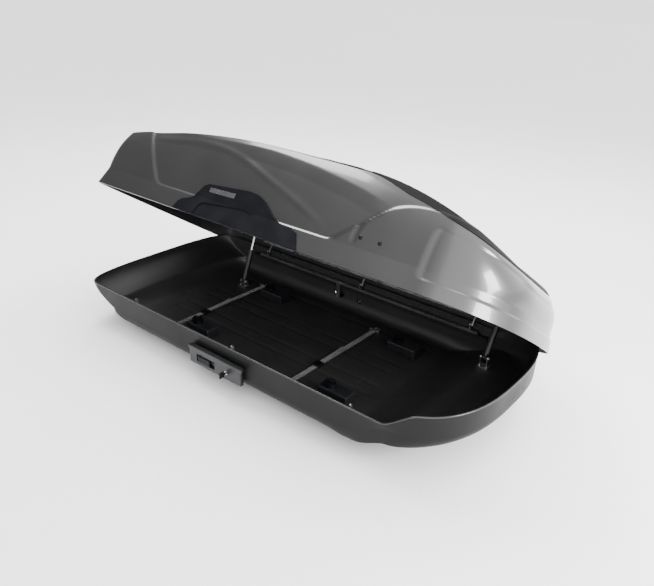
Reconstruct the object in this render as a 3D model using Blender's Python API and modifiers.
"""Roof cargo box: a tray and a hinged lid, with latch bars, spring lifters and roof-rack clamps.

Frame: +X to the front, +Y to the far (hinge) side, +Z up. The origin is the middle of the tray's
underside. The lid is modelled shut and then turned open about its hinge line.
"""
import math

import bmesh
import bpy
from mathutils import Matrix, Vector
from mathutils.bvhtree import BVHTree

MM = 0.001
GAP = 0.3 * MM                      # free space between pieces that touch

# Outline shared by the tray and the lid
REAR_X, NOSE_X = -1.035, 0.970      # the lid's rear and front ends
HALF_WIDTH = 0.4575                 # the lid's lower edge, half of 915 mm
NOSE_START_X = 0.69                 # where the straight side turns into the nose
REAR_START_X = -0.93                # where the straight side turns into the rear corner
REAR_POWER = 3.2                    # squareness of the rear corners
NOSE_POWER = 2.74                   # squareness of the nose
REAR_STEPS, SIDE_STEPS, NOSE_STEPS = 9, 12, 12

# Tray
SHELL = 4 * MM
TRAY_INSET = 0.0295                 # from the lid's lower edge in to the tray's rim
RIM_Z, NOSE_RIM_Z = 0.152, 0.222
RIM_RAMP = (0.66, 0.80)             # where the rim climbs to the nose
FLOOR = ((-1.1, 0.0), (0.44, 0.0), (0.50, 0.0), (0.60, 0.034), (0.68, 0.072), (0.72, 0.077),
         (0.80, 0.079), (0.97, 0.081))
FLOOR_INSET, FLOOR_INSET_REAR, FLOOR_INSET_NOSE = 0.052, 0.22, 0.12
WALL_INSET, WALL_INSET_REAR = 0.005, 0.13   # how far the upright wall runs in from the rim
WALL_FOOT = 0.060                   # height of the rounding between the wall and the floor
BELLY_X, BELLY_OUT = (0.45, 0.60), 0.045    # where the rounding swells out under the nose

# Lid
LID_EDGE_Z = 0.137
CREASE_Z = 0.215
SIDE_LEAN = math.tan(math.radians(11))
SHOULDER = ((-1.065, 0.369), (-0.80, 0.427), (-0.35, 0.484), (0.10, 0.491), (0.45, 0.479),
            (0.75, 0.404), (0.95, 0.300), (1.085, 0.213))
CROWN = 0.010                       # how far the roof rises above the shoulder
SHOULDER_INSET = (0.050, 0.030, 0.093)
SIDE_BOW = 2.6                      # how late the side leans in as it rises

# Roof inlays: the x where each starts and ends, and its half width there
INLAYS = {"rear": (-0.45, 0.31, 0.300, 0.385), "front": (0.36, 0.80, 0.385, 0.330)}
INLAY_LIFT = 3.5 * MM               # clear of the lid, whose facets are larger than the panels'
INLAY_THICKNESS = 1.8 * MM

# Handle on the lid's side wall: x and z with the lid shut
HANDLE = ((-0.450, 0.140), (-0.440, 0.170), (-0.425, 0.186), (-0.385, 0.200), (-0.370, 0.213),
          (-0.337, 0.262), (-0.315, 0.273), (-0.100, 0.291), (-0.055, 0.287), (-0.020, 0.272),
          (0.040, 0.228), (0.085, 0.212), (0.150, 0.208), (0.172, 0.198), (0.206, 0.140))
HANDLE_RECESS = ((-0.335, 0.120), (-0.329, 0.178), (-0.308, 0.197), (-0.100, 0.219), (-0.055, 0.212),
                 (0.052, 0.120))
HANDLE_THICKNESS, RECESS_FLOOR = 7 * MM, 3.2 * MM

# Lid hinge and rest pose
HINGE_Y, HINGE_Z = 0.408, 0.150
OPEN_ANGLE = math.radians(32.2)

# Latches
LATCH_TRAVEL = 16 * MM
PIN_X = (-0.62, -0.02, 0.56)        # faces of the lid's lugs, where the stub pins start
PIN_R, EYE_R, EYE_OUTER = 3.0 * MM, 3.4 * MM, 8.0 * MM
BAR_X = (-0.70, 0.62)
LID_RAIL_X = (-0.68, 0.70)

# Lock on the side wall
LOCK_X = (-0.255, 0.040)
LOCK_Z = (0.020, 0.102)
LOCK_Y = 0.447                      # the escutcheon's outer face
KNOB_X, KNOB_Z = -0.158, 0.054
CYLINDER_X, CYLINDER_Z, CYLINDER_R = -0.040, 0.052, 8 * MM

# Lifters
LIFTER_X = {"front": 0.71, "rear": -0.64}
LIFTER_FOOT = {"front": (0.240, 0.125), "rear": (0.240, 0.030)}     # y, z of the pivot on the tray
LIFTER_HEAD = {"front": (0.270, 0.330), "rear": (0.270, 0.235)}     # y, z of the pivot on the shut lid
TUBE_R, BORE_R, ROD_R = 12.5 * MM, 8.5 * MM, 5.5 * MM
LIFTER_PIN_R, SLACK_R = 2.5 * MM, 6.2 * MM  # the pin at the head, and the loose eye around it
TUBE_TOP, TUBE_FLOOR = 0.165, 0.030
PISTON_Z = 0.143                    # underside of the piston with the lid open

# Rack clamps
CLAMP_X, CLAMP_Y = (-0.42, 0.34), (-0.235, 0.235)
CLAMP_TOP = 0.048
CLAMP_HALF_X, CLAMP_HALF_Y = 0.070, 0.032
CLAW_DROP = 0.045                   # how far the claws hang under the tray
CLAW_HALF_Y = 0.0145
DIAL_X = -0.030                     # from the clamp's middle to its dial

# Cargo straps
STRAP_X = {"rear": -0.555, "front": 0.14}
STRAP_WIDTH, STRAP_HALF = 0.025, 0.300
LOOP_HALF, BUCKLE_HALF = (0.026, 0.007), (0.018, 0.020)
BUCKLE_Y = -0.10


# ---------------------------------------------------------------- helpers

def clear_scene():
    for obj in list(bpy.data.objects):
        bpy.data.objects.remove(obj, do_unlink=True)


def collection(name):
    made = bpy.data.collections.new(name)
    bpy.context.scene.collection.children.link(made)
    return made


def material(name, colour, roughness, metallic=0.0):
    made = bpy.data.materials.new(name)
    made.use_nodes = True
    shader = made.node_tree.nodes["Principled BSDF"]
    shader.inputs["Base Color"].default_value = (*colour, 1.0)
    shader.inputs["Roughness"].default_value = roughness
    shader.inputs["Metallic"].default_value = metallic
    return made


def lerp(a, b, t):
    return a + (b - a) * t


def smooth(t):
    t = min(max(t, 0.0), 1.0)
    return t * t * (3 - 2 * t)


def along(table, x):
    """The smooth value at x of a table of (x, value) pairs."""
    for (x0, v0), (x1, v1) in zip(table, table[1:]):
        if x <= x1:
            break
    i = table.index((x0, v0))
    before = table[i - 1] if i > 0 else (x0, v0)
    after = table[i + 2] if i + 2 < len(table) else (x1, v1)
    m0 = (v1 - before[1]) / (x1 - before[0])
    m1 = (after[1] - v0) / (after[0] - x0)
    h, t = x1 - x0, min(max((x - x0) / (x1 - x0), 0.0), 1.0)
    return ((2 * t**3 - 3 * t**2 + 1) * v0 + (t**3 - 2 * t**2 + t) * h * m0
            + (3 * t**2 - 2 * t**3) * v1 + (t**3 - t**2) * h * m1)


def place(obj, parts, mat, parent=None):
    """Files the object under its material, collection and parent, keeping it where it is."""
    obj.data.materials.clear()
    obj.data.materials.append(mat)
    for old in list(obj.users_collection):
        old.objects.unlink(obj)
    parts.objects.link(obj)
    if parent:
        obj.parent = parent
    return obj


def mesh_object(name, bm):
    bmesh.ops.recalc_face_normals(bm, faces=bm.faces)
    mesh = bpy.data.meshes.new(name)
    bm.to_mesh(mesh)
    bm.free()
    obj = bpy.data.objects.new(name, mesh)
    bpy.context.scene.collection.objects.link(obj)
    return obj


def box(name, low, high, bevel=0.0, segments=2):
    bm = bmesh.new()
    bmesh.ops.create_cube(bm, size=1.0)
    size = Vector(high) - Vector(low)
    bmesh.ops.scale(bm, vec=size, verts=bm.verts)
    bmesh.ops.translate(bm, vec=Vector(low) + size / 2, verts=bm.verts)
    if bevel:
        bmesh.ops.bevel(bm, geom=bm.edges, offset=bevel, segments=segments, affect="EDGES", profile=0.5)
    return mesh_object(name, bm)


def cylinder(name, start, end, radius, sides=20):
    bm = bmesh.new()
    start, end = Vector(start), Vector(end)
    bmesh.ops.create_cone(bm, cap_ends=True, segments=sides, radius1=radius, radius2=radius,
                          depth=(end - start).length)
    turn = Vector((0, 0, 1)).rotation_difference(end - start).to_matrix().to_4x4()
    bmesh.ops.transform(bm, matrix=Matrix.Translation((start + end) / 2) @ turn, verts=bm.verts)
    return mesh_object(name, bm)


def prism(name, outline, axis, low, high):
    """A flat outline, given in the two axes other than axis, run from low to high along axis."""
    bm = bmesh.new()
    def point(p, q):
        return {"X": (q, p[0], p[1]), "Y": (p[0], q, p[1]), "Z": (p[0], p[1], q)}[axis]
    first = [bm.verts.new(point(p, low)) for p in outline]
    last = [bm.verts.new(point(p, high)) for p in outline]
    bm.faces.new(first)
    bm.faces.new(last[::-1])
    for i in range(len(outline)):
        j = (i + 1) % len(outline)
        bm.faces.new((first[j], first[i], last[i], last[j]))
    return mesh_object(name, bm)


def settle(obj):
    """Replaces the object's mesh with what its modifiers make."""
    bpy.context.view_layer.update()
    graph = bpy.context.evaluated_depsgraph_get()
    mesh = bpy.data.meshes.new_from_object(obj.evaluated_get(graph))
    obj.modifiers.clear()
    obj.data = mesh
    return obj


def combine(obj, others, operation):
    """Joins the others to the object, or cuts them from it."""
    for other in others:
        modifier = obj.modifiers.new("combine", "BOOLEAN")
        modifier.operation = operation
        modifier.object = other
        settle(obj)
        bpy.data.objects.remove(other, do_unlink=True)
    return obj


def join(obj, *others):
    return combine(obj, others, "UNION")


def cut(obj, *others):
    return combine(obj, others, "DIFFERENCE")


# ---------------------------------------------------------------- outlines

def half_outline(inset=0.0, rear_inset=None, nose_inset=None):
    """The near half of the plan outline, from the middle of the rear end to the tip of the nose."""
    rear_inset = inset if rear_inset is None else rear_inset
    nose_inset = inset if nose_inset is None else nose_inset
    half, points = HALF_WIDTH - inset, []
    start, reach = REAR_START_X + rear_inset, REAR_START_X - REAR_X
    for i in range(REAR_STEPS):
        angle = math.pi / 2 * i / REAR_STEPS
        points.append((start - reach * math.cos(angle) ** (2 / REAR_POWER),
                       -half * math.sin(angle) ** (2 / REAR_POWER)))
    for i in range(SIDE_STEPS):
        points.append((lerp(start, NOSE_START_X, i / SIDE_STEPS), -half))
    for i in range(NOSE_STEPS + 1):
        angle = math.pi / 2 * i / NOSE_STEPS
        reach = NOSE_X - nose_inset - NOSE_START_X
        points.append((NOSE_START_X + reach * math.sin(angle),
                       -half * max(math.cos(angle), 0.0) ** (2 / NOSE_POWER)))
    points[0] = (points[0][0], 0.0)
    points[-1] = (points[-1][0], 0.0)
    return points


def half_shell(name, rings, thickness):
    """An open half surface through the rings, mirrored about Y = 0 and thickened inwards."""
    bm = bmesh.new()
    rows = [[bm.verts.new(p) for p in ring] for ring in rings]
    for lower, upper in zip(rows, rows[1:]):
        for i in range(len(lower) - 1):
            bm.faces.new((lower[i], lower[i + 1], upper[i + 1], upper[i]))
    bmesh.ops.remove_doubles(bm, verts=bm.verts, dist=0.00005)
    bmesh.ops.dissolve_degenerate(bm, dist=0.00005, edges=bm.edges)
    obj = mesh_object(name, bm)
    mirror = obj.modifiers.new("mirror", "MIRROR")
    mirror.use_axis = (False, True, False)
    mirror.merge_threshold = 0.00009
    solid = obj.modifiers.new("wall", "SOLIDIFY")
    solid.thickness = thickness
    solid.offset = -1
    return settle(obj)


# ---------------------------------------------------------------- tray

def rim_height(x):
    return lerp(RIM_Z, NOSE_RIM_Z, smooth((x - RIM_RAMP[0]) / (RIM_RAMP[1] - RIM_RAMP[0])))


def floor_height(x):
    return along(FLOOR, x)


def belly(x):
    """0 along the flat underside, 1 where the tray has swollen out under the nose."""
    return smooth((x - BELLY_X[0]) / (BELLY_X[1] - BELLY_X[0]))


def tray_rings():
    rim = half_outline(TRAY_INSET)
    floor = half_outline(TRAY_INSET + FLOOR_INSET, TRAY_INSET + FLOOR_INSET_REAR,
                         TRAY_INSET + FLOOR_INSET_NOSE)
    swell = BELLY_OUT / (HALF_WIDTH - TRAY_INSET - FLOOR_INSET)
    edge = [(x, y * (1 + swell * belly(x)), floor_height(x)) for x, y in floor]
    rings = [[(x, y, rim_height(x)) for x, y in rim]]
    for drop in (0.35, 1.0):
        ring = half_outline(TRAY_INSET + WALL_INSET * drop, TRAY_INSET + WALL_INSET_REAR * drop**2,
                            TRAY_INSET)
        rings.append([(x, y, lerp(rim_height(x), floor_height(x) + WALL_FOOT, drop)) for x, y in ring])
    for angle in (30, 60):
        out, down = 1 - math.cos(math.radians(angle)), math.sin(math.radians(angle))
        rings.append([tuple(lerp(p, q, t) for p, q, t in zip(wall, foot, (out, out, down)))
                      for wall, foot in zip(rings[2], edge)])
    rings.append(edge)
    for t in (0.4, 0.8, 1.0):
        rings.append([(x, lerp(y, 0, t), z) for x, y, z in edge])
    return rings


def make_tray():
    tray = half_shell("base_tray", tray_rings(), SHELL)
    for side in (-1, 1):
        slot = sorted((side * 0.36, side * 0.46))
        cut(tray, box("knob_slot", (KNOB_X - 0.030, slot[0], KNOB_Z - 0.006),
                      (KNOB_X + 0.030, slot[1], KNOB_Z + 0.006)))
        cut(tray, cylinder("lock_hole", (CYLINDER_X, slot[0], CYLINDER_Z), (CYLINDER_X, slot[1], CYLINDER_Z),
                           CYLINDER_R + 1.5 * MM))
    for x in CLAMP_X:
        for y in CLAMP_Y:
            cut(tray, box("clamp_slot", (x - 0.062, y - 0.017, -0.02), (x + 0.062, y + 0.017, 0.03)))
    return tray


# ---------------------------------------------------------------- lid

def lid_rings():
    edge = half_outline()
    rings = [[(x, y, LID_EDGE_Z) for x, y in edge]]
    for z in (0.176, CREASE_Z):
        rings.append([(x, y, z) for x, y in half_outline((z - LID_EDGE_Z) * SIDE_LEAN)])
    low = half_outline((CREASE_Z - LID_EDGE_Z) * SIDE_LEAN + 0.004)
    high = half_outline(*SHOULDER_INSET)
    for t in (0.12, 0.45, 0.75, 0.93, 1.0):
        ring = []
        for (lx, ly), (hx, hy) in zip(low, high):
            top = along(SHOULDER, hx)
            inward = t**SIDE_BOW
            ring.append((lerp(lx, hx, inward), lerp(ly, hy, inward), lerp(CREASE_Z, max(top, 0.235), t)))
        rings.append(ring)
    shoulder = rings[-1]
    for t in (0.06, 0.2, 0.45, 0.7, 1.0):
        ring = []
        for x, y, z in shoulder:
            cx = lerp(x, lerp(x, -0.02, 0.05), t)
            ring.append((cx, y * (1 - t), z + CROWN * (1 - (1 - t)**2.2)))
        rings.append(ring)
    return rings


def make_lid():
    return half_shell("lid_shell", lid_rings(), SHELL)


def wall_y(z):
    """How far out the shut lid's side wall stands at a height: it leans below the crease only."""
    return HALF_WIDTH - (min(z, CREASE_Z) - LID_EDGE_Z) * SIDE_LEAN


def make_lid_trim(side, name):
    """The moulded handle over the lock, standing on the lid's side wall, with its finger recess."""
    trim = prism(name, HANDLE, "Y", 0.0, HANDLE_THICKNESS)
    cut(trim, prism("recess", HANDLE_RECESS, "Y", RECESS_FLOOR, 0.02))
    bm = bmesh.new()
    bm.from_mesh(trim.data)
    bmesh.ops.bisect_plane(bm, geom=bm.verts[:] + bm.edges[:] + bm.faces[:], plane_co=(0, 0, CREASE_Z),
                           plane_no=(0, 0, 1))
    for vert in bm.verts:
        vert.co.y = side * (wall_y(vert.co.z) + GAP + vert.co.y)
    bm.normal_update()
    if bm.calc_volume(signed=True) < 0:
        bmesh.ops.reverse_faces(bm, faces=bm.faces)
    bm.to_mesh(trim.data)
    bm.free()
    return trim


def make_roof_inlay(end, lid):
    """A thin textured panel lying on the crown of the roof, shaped by looking down on the shut lid."""
    x0, x1, half0, half1 = INLAYS[end]
    faces = [p.vertices for p in lid.data.polygons]
    surface = BVHTree.FromPolygons([v.co for v in lid.data.vertices], faces)
    bm = bmesh.new()
    rows, columns, grid = 12, 8, []
    for i in range(rows + 1):
        x, half = lerp(x0, x1, i / rows), lerp(half0, half1, i / rows)
        line = []
        for j in range(columns + 1):
            hit = surface.ray_cast(Vector((x, lerp(-half, half, j / columns), 1.0)), Vector((0, 0, -1)))[0]
            line.append(bm.verts.new(hit + Vector((0, 0, INLAY_LIFT))))
        grid.append(line)
    for a, b in zip(grid, grid[1:]):
        for j in range(columns):
            bm.faces.new((a[j], b[j], b[j + 1], a[j + 1]))
    obj = mesh_object(f"roof_inlay_{end}", bm)
    if obj.data.polygons[0].normal.z < 0:
        obj.data.flip_normals()
    solid = obj.modifiers.new("sheet", "SOLIDIFY")
    solid.thickness = INLAY_THICKNESS
    solid.offset = 1
    return settle(obj)


# ---------------------------------------------------------------- latches

def make_lid_rail(side, name):
    """The rail along the lid's side, with three lugs, each holding a stub pin on the hinge line."""
    y = side * HINGE_Y
    rail = box(name, (LID_RAIL_X[0], y - 0.008, 0.186), (LID_RAIL_X[1], y + 0.008, 0.202), 1.5 * MM, 1)
    for x in PIN_X:
        join(rail,
             box("lug", (x, y - 0.007, HINGE_Z), (x + 6 * MM, y + 0.007, 0.190)),
             cylinder("lug_end", (x + 0.1 * MM, y, HINGE_Z), (x + 5.9 * MM, y, HINGE_Z), 6.9 * MM, 16),
             cylinder("stub_pin", (x - 12 * MM, y, HINGE_Z), (x + 3 * MM, y, HINGE_Z), PIN_R, 16))
    return rail


def make_latch_bar(side, name, released):
    """The sliding bar in the tray's side, with an eye for each of the lid's stub pins."""
    y, shift = side * HINGE_Y, -LATCH_TRAVEL if released else 0.0
    bar = box(name, (BAR_X[0] + 0.02 + shift, y - 0.006, 0.116),
              (BAR_X[1] - 0.03 + shift, y + 0.006, 0.128))
    for x in PIN_X:
        left, right = x - 10 * MM + shift, x - 4 * MM + shift
        join(bar,
             box("stalk", (left, y - 0.0078, 0.118), (right, y + 0.0078, HINGE_Z)),
             cylinder("eye", (left + 0.1 * MM, y, HINGE_Z), (right - 0.1 * MM, y, HINGE_Z), EYE_OUTER, 20))
        cut(bar, cylinder("eye_hole", (left - 0.01, y, HINGE_Z), (right + 0.01, y, HINGE_Z), EYE_R, 16))
    x = KNOB_X + LATCH_TRAVEL / 2 + shift
    inner, outer = sorted((side * (HINGE_Y - 0.016), side * (HINGE_Y - 0.011)))
    shelf_low, shelf_high = sorted((side * (HINGE_Y - 0.016), side * (HINGE_Y - 0.004)))
    return join(bar,
                box("shelf", (x - 0.010, shelf_low, 0.118), (x + 0.010, shelf_high, 0.124)),
                box("arm", (x - 0.010, inner, KNOB_Z - 0.006), (x + 0.010, outer, 0.122)))


def make_side_rail(side, name):
    """The fixed channel that the latch bar slides on, along the inside of the tray's wall."""
    y = side * HINGE_Y
    rail = box(name, (BAR_X[0] - 0.03, y - 0.009, 0.100), (BAR_X[1] + 0.02, y + 0.009, 0.1157))
    return rail


def make_lock_housing(side, name):
    lo, hi = sorted((side * (HALF_WIDTH - TRAY_INSET + GAP), side * LOCK_Y))
    housing = box(name, (LOCK_X[0], lo, LOCK_Z[0]), (LOCK_X[1], hi, LOCK_Z[1]), 5 * MM, 2)
    cut(housing, box("knob_window", (KNOB_X - 0.052, -0.6, KNOB_Z - 0.017),
                     (KNOB_X + 0.052, 0.6, KNOB_Z + 0.017)))
    cut(housing, cylinder("barrel_hole", (CYLINDER_X, -0.6, CYLINDER_Z), (CYLINDER_X, 0.6, CYLINDER_Z),
                          CYLINDER_R + GAP, 24))
    visor_lo, visor_hi = sorted((side * (LOCK_Y - 0.010), side * (LOCK_Y + 0.008)))
    join(housing, box("visor", (LOCK_X[0] + 0.004, visor_lo, LOCK_Z[1] - 0.014),
                      (LOCK_X[1] + 0.012, visor_hi, LOCK_Z[1] + 0.002), 2 * MM, 1))
    return housing


def make_knob(side, name, released):
    """The sliding thumb grip, whose stem reaches through the wall to the latch bar."""
    shift = -LATCH_TRAVEL if released else 0.0
    x = KNOB_X + LATCH_TRAVEL / 2 + shift
    lo, hi = sorted((side * (LOCK_Y - 0.012), side * (LOCK_Y + 0.004)))
    knob = box(name, (x - 0.034, lo, KNOB_Z - 0.014), (x + 0.034, hi, KNOB_Z + 0.014), 4 * MM, 2)
    stem_lo, stem_hi = sorted((side * (HINGE_Y - 0.0107), side * (LOCK_Y - 0.006)))
    join(knob, box("stem", (x - 0.012, stem_lo, KNOB_Z - 0.005), (x + 0.012, stem_hi, KNOB_Z + 0.005)))
    return knob


def make_lock_cylinder(side, name):
    lo, hi = side * 0.4255, side * (LOCK_Y + 0.001)
    barrel = cylinder(name, (CYLINDER_X, lo, CYLINDER_Z), (CYLINDER_X, hi, CYLINDER_Z), CYLINDER_R, 24)
    cam_lo, cam_hi = sorted((side * 0.4175, side * 0.4265))
    slot_lo, slot_hi = sorted((side * 0.430, side * 0.50))
    cut(barrel, box("keyway", (CYLINDER_X - 1.3 * MM, slot_lo, CYLINDER_Z - 4.6 * MM),
                    (CYLINDER_X + 1.3 * MM, slot_hi, CYLINDER_Z + 4.6 * MM)))
    join(barrel, cylinder("cam", (CYLINDER_X, cam_lo, CYLINDER_Z), (CYLINDER_X, cam_hi, CYLINDER_Z),
                          6 * MM, 16))
    return barrel


def make_key(name):
    face = -LOCK_Y - 0.001
    key = box(name, (CYLINDER_X - 3 * MM, face - 0.034, CYLINDER_Z - 13 * MM),
              (CYLINDER_X + 3 * MM, face - 0.010, CYLINDER_Z + 13 * MM), 2.4 * MM, 2)
    blade = box("blade", (CYLINDER_X - 1 * MM, face - 0.012, CYLINDER_Z - 4 * MM),
                (CYLINDER_X + 1 * MM, -0.431, CYLINDER_Z + 4 * MM))
    return join(key, blade)


# ---------------------------------------------------------------- lifters

def lifter_angle_and_length(end):
    """Direction from +Y and length of a lifter with the lid open."""
    (head_y, head_z), (foot_y, foot_z) = LIFTER_HEAD[end], LIFTER_FOOT[end]
    dy, dz = head_y - HINGE_Y, head_z - HINGE_Z
    y = HINGE_Y + dy * math.cos(OPEN_ANGLE) + dz * math.sin(OPEN_ANGLE) - foot_y
    z = HINGE_Z - dy * math.sin(OPEN_ANGLE) + dz * math.cos(OPEN_ANGLE) - foot_z
    return math.atan2(z, y), math.hypot(y, z)


def make_foot(end, x):
    y, z = LIFTER_FOOT[end]
    floor = floor_height(x + 0.024) + SHELL + GAP
    foot = box(f"lifter_foot_{end}", (x - 0.024, y - 0.018, floor), (x + 0.024, y + 0.018, floor + 0.007))
    for s in (-1, 1):
        lo, hi = sorted((x + s * 0.0125, x + s * 0.0165))
        join(foot, box("ear", (lo, y - 0.010, floor + 0.004), (hi, y + 0.010, z)),
             cylinder("ear_end", (lo + 0.05 * MM, y, z), (hi - 0.05 * MM, y, z), 9.9 * MM, 20))
    return join(foot, cylinder("foot_pin", (x - 0.020, y, z), (x + 0.020, y, z), 4 * MM, 20))


def make_tube(end):
    """The lifter's outer tube, upright from its pivot at the origin, open at the top."""
    tube = cylinder(f"lifter_tube_{end}", (0, 0, 0.014), (0, 0, TUBE_TOP), TUBE_R, 24)
    cut(tube, cylinder("bore", (0, 0, TUBE_FLOOR), (0, 0, TUBE_TOP + 0.02), BORE_R, 24))
    join(tube, cylinder("neck", (0, 0, 0.001), (0, 0, 0.020), 8 * MM, 20),
         cylinder("eye", (-0.010, 0, 0), (0.010, 0, 0), 0.0105, 24))
    return cut(tube, cylinder("eye_hole", (-0.02, 0, 0), (0.02, 0, 0), 4 * MM + GAP, 20))


def make_rod(end, length):
    """The plunger: a piston that the spring pushes on, a rod and a head with a loose eye."""
    rod = cylinder(f"lifter_rod_{end}", (0, 0, PISTON_Z + 0.006), (0, 0, length - 0.008), ROD_R, 20)
    join(rod, cylinder("piston", (0, 0, PISTON_Z), (0, 0, PISTON_Z + 0.010), BORE_R - 0.4 * MM, 20),
         box("head", (-0.007, -0.011, length - 0.022), (0.007, 0.011, length), 2 * MM, 1),
         cylinder("head_end", (-0.0068, 0, length), (0.0068, 0, length), 0.0110, 24))
    return cut(rod, cylinder("head_hole", (-0.02, 0, length), (0.02, 0, length), SLACK_R, 20))


def make_spring(end, parts, mat, parent):
    """The coil that pushes the lid open, between the tube's floor and the piston."""
    turns, steps, radius, wire = 8, 10, 6.2 * MM, 1.1 * MM
    low, high = TUBE_FLOOR + wire + GAP, PISTON_Z - wire - GAP
    curve = bpy.data.curves.new(f"lifter_spring_{end}", "CURVE")
    curve.dimensions = "3D"
    curve.bevel_depth = wire
    curve.bevel_resolution = 1
    curve.use_fill_caps = True
    spline = curve.splines.new("POLY")
    count = turns * steps + 1
    spline.points.add(count - 1)
    for i, point in enumerate(spline.points):
        angle = 2 * math.pi * i / steps
        point.co = (radius * math.cos(angle), radius * math.sin(angle), lerp(low, high, i / (count - 1)), 1)
    obj = bpy.data.objects.new(f"lifter_spring_{end}", curve)
    bpy.context.scene.collection.objects.link(obj)
    return place(obj, parts, mat, parent)


def make_lid_bracket(end, x):
    """The arm at the end of the lid's far rail that carries the lifter's upper pin."""
    y, z = LIFTER_HEAD[end]
    rail_end = LID_RAIL_X[1] + GAP if end == "front" else LID_RAIL_X[0] - GAP
    xs = sorted((rail_end, x + math.copysign(0.018, x)))
    outer, level = 0.385, z - 0.028
    arm = box(f"lifter_bracket_{end}", (x - 0.018, y - 0.010, level), (x + 0.018, outer, level + 0.004))
    join(arm, box("riser", (xs[0], outer - 0.004, 0.195), (xs[1], outer + 0.0001, level + 0.0039)))
    for s in (-1, 1):
        lo, hi = sorted((x + s * 0.0100, x + s * 0.0130))
        join(arm, box("ear", (lo, y - 0.008, level + 0.001), (hi, y + 0.008, z)),
             cylinder("ear_end", (lo + 0.05 * MM, y, z), (hi - 0.05 * MM, y, z), 7.9 * MM, 20))
    # the arm is cut away where the lifter's head swings
    cut(arm, box("head_space", (x - 0.0099, y - 0.03, level - 0.02), (x + 0.0099, y + 0.020, level + 0.02)))
    return join(arm, cylinder("head_pin", (x - 0.016, y, z), (x + 0.016, y, z), LIFTER_PIN_R, 16))


# ---------------------------------------------------------------- rack clamps

def make_clamp(x, y, tag, parts, mats):
    """A clamp in the tray's floor, whose dial draws the jaw towards the fixed claw below."""
    housing = box(f"clamp_housing_{tag}", (x - CLAMP_HALF_X, y - CLAMP_HALF_Y, SHELL + GAP),
                  (x + CLAMP_HALF_X, y + CLAMP_HALF_Y, CLAMP_TOP), 5 * MM, 2)
    cut(housing, box("jaw_space", (x - 0.012, y - CLAW_HALF_Y - 2 * MM, -0.01),
                     (x + 0.060, y + CLAW_HALF_Y + 2 * MM, 0.030)))
    claw = [(x - 0.056, 0.010), (x - 0.056, -CLAW_DROP), (x - 0.030, -CLAW_DROP),
            (x - 0.030, -CLAW_DROP + 0.008), (x - 0.044, -CLAW_DROP + 0.014), (x - 0.044, 0.010)]
    join(housing, prism("fixed_claw", claw, "Y", y - CLAW_HALF_Y, y + CLAW_HALF_Y))
    place(housing, parts, mats["black"])
    dial = cylinder(f"clamp_dial_{tag}", (0, 0, CLAMP_TOP + GAP), (0, 0, CLAMP_TOP + 0.016), 0.024, 24)
    join(dial, box("grip", (-0.019, -0.005, CLAMP_TOP + 0.012), (0.019, 0.005, CLAMP_TOP + 0.026),
                   2 * MM, 1))
    dial.location = (x + DIAL_X, y, 0)
    place(dial, parts, mats["satin"])
    jaw = [(0.056, 0.026), (0.056, -CLAW_DROP), (0.030, -CLAW_DROP), (0.030, -CLAW_DROP + 0.008),
           (0.044, -CLAW_DROP + 0.014), (0.044, 0.010), (0.024, 0.010), (0.024, 0.026)]
    piece = prism(f"clamp_jaw_{tag}", jaw, "Y", -CLAW_HALF_Y, CLAW_HALF_Y)
    piece.location = (x, y, 0)
    place(piece, parts, mats["steel"])


# ---------------------------------------------------------------- cargo straps

def make_strap(x, tag, parts, mats):
    """A webbing strap laid flat across the tray's floor between two loops, with its buckle."""
    floor = SHELL + GAP
    half_x, half_y = LOOP_HALF
    for side, where in ((-1, "near"), (1, "far")):
        y = side * STRAP_HALF
        loop = box(f"strap_loop_{tag}_{where}", (x - half_x, y - half_y, floor),
                   (x + half_x, y + half_y, floor + 0.012), 2 * MM, 1)
        cut(loop, box("slit", (x - 0.0145, y - 0.02, floor + 0.003), (x + 0.0145, y + 0.02, floor + 0.0065)))
        place(loop, parts, mats["steel"])
    strap = box(f"strap_{tag}", (x - STRAP_WIDTH / 2, -STRAP_HALF - 0.030, floor + 0.0035),
                (x + STRAP_WIDTH / 2, STRAP_HALF + 0.030, floor + 0.0055))
    place(strap, parts, mats["black"])
    half_x, half_y = BUCKLE_HALF
    buckle = box(f"strap_buckle_{tag}", (x - half_x, BUCKLE_Y - half_y, floor + 0.0008),
                 (x + half_x, BUCKLE_Y + half_y, floor + 0.0120), 2 * MM, 1)
    cut(buckle, box("strap_way", (x - STRAP_WIDTH / 2 - GAP, BUCKLE_Y - 0.05, floor + 0.0030),
                    (x + STRAP_WIDTH / 2 + GAP, BUCKLE_Y + 0.05, floor + 0.0060)))
    place(buckle, parts, mats["satin"])


# ---------------------------------------------------------------- assembly

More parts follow.
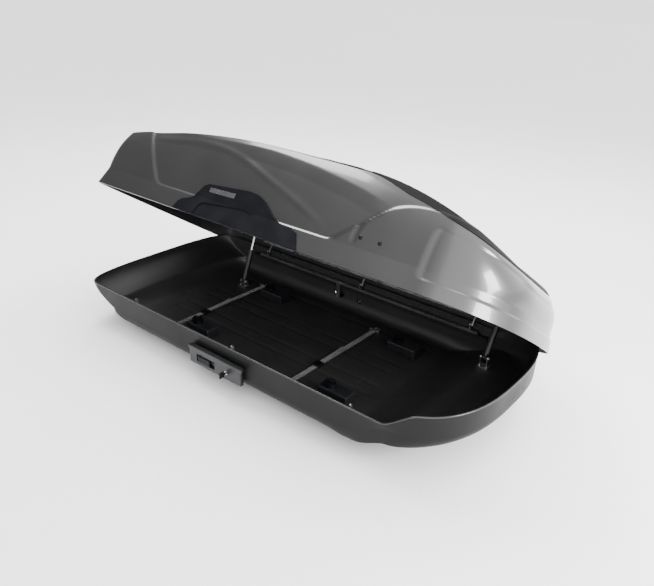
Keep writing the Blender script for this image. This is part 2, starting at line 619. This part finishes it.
def build():
    clear_scene()
    parts = collection("roof_cargo_box")
    mats = {
        "titan": material("titan_gloss", (0.19, 0.19, 0.19), 0.18, 0.55),
        "tray": material("tray_grey", (0.075, 0.075, 0.078), 0.45),
        "black": material("black_plastic", (0.012, 0.013, 0.016), 0.42),
        "satin": material("black_satin", (0.02, 0.021, 0.025), 0.3),
        "inlay": material("roof_inlay", (0.06, 0.06, 0.06), 0.6),
        "steel": material("zinc_steel", (0.55, 0.55, 0.56), 0.35, 1.0),
    }
    place(make_tray(), parts, mats["tray"])

    # everything on the lid turns about this line
    hinge = bpy.data.objects.new("lid_hinge", None)
    parts.objects.link(hinge)
    hinge.location = (0, HINGE_Y, HINGE_Z)
    hinge.rotation_euler = (-OPEN_ANGLE, 0, 0)
    shut = Matrix.Translation((0, -HINGE_Y, -HINGE_Z))
    lid = make_lid()
    on_lid = [(lid, "titan"),
              (make_lid_trim(-1, "lid_handle_near"), "satin"),
              (make_lid_trim(1, "lid_handle_far"), "satin"),
              (make_lid_rail(-1, "lid_rail_near"), "steel"),
              (make_lid_rail(1, "lid_rail_far"), "steel")]
    on_lid += [(make_roof_inlay(end, lid), "inlay") for end in INLAYS]
    on_lid += [(make_lid_bracket(end, x), "steel") for end, x in LIFTER_X.items()]
    for obj, mat in on_lid:
        place(obj, parts, mats[mat], hinge)
        obj.matrix_parent_inverse = shut

    for side, tag, released in ((-1, "near", True), (1, "far", False)):
        place(make_side_rail(side, f"tray_rail_{tag}"), parts, mats["black"])
        place(make_latch_bar(side, f"latch_bar_{tag}", released), parts, mats["steel"])
        place(make_lock_housing(side, f"lock_housing_{tag}"), parts, mats["black"])
        place(make_knob(side, f"lock_slider_{tag}", released), parts, mats["satin"])
        place(make_lock_cylinder(side, f"lock_cylinder_{tag}"), parts, mats["steel"])
    place(make_key("key"), parts, mats["satin"])

    for end, x in LIFTER_X.items():
        lean, length = lifter_angle_and_length(end)
        place(make_foot(end, x), parts, mats["steel"])
        pivot = bpy.data.objects.new(f"lifter_pivot_{end}", None)
        parts.objects.link(pivot)
        pivot.location = (x, *LIFTER_FOOT[end])
        pivot.rotation_euler = (lean - math.pi / 2, 0, 0)
        place(make_tube(end), parts, mats["black"], pivot)
        place(make_rod(end, length), parts, mats["steel"], pivot)
        make_spring(end, parts, mats["steel"], pivot)

    for i, x in enumerate(CLAMP_X):
        for j, y in enumerate(CLAMP_Y):
            tag = ("rear", "front")[i] + "_" + ("near", "far")[j]
            make_clamp(x, y, tag, parts, mats)
    for tag, x in STRAP_X.items():
        make_strap(x, tag, parts, mats)


build()
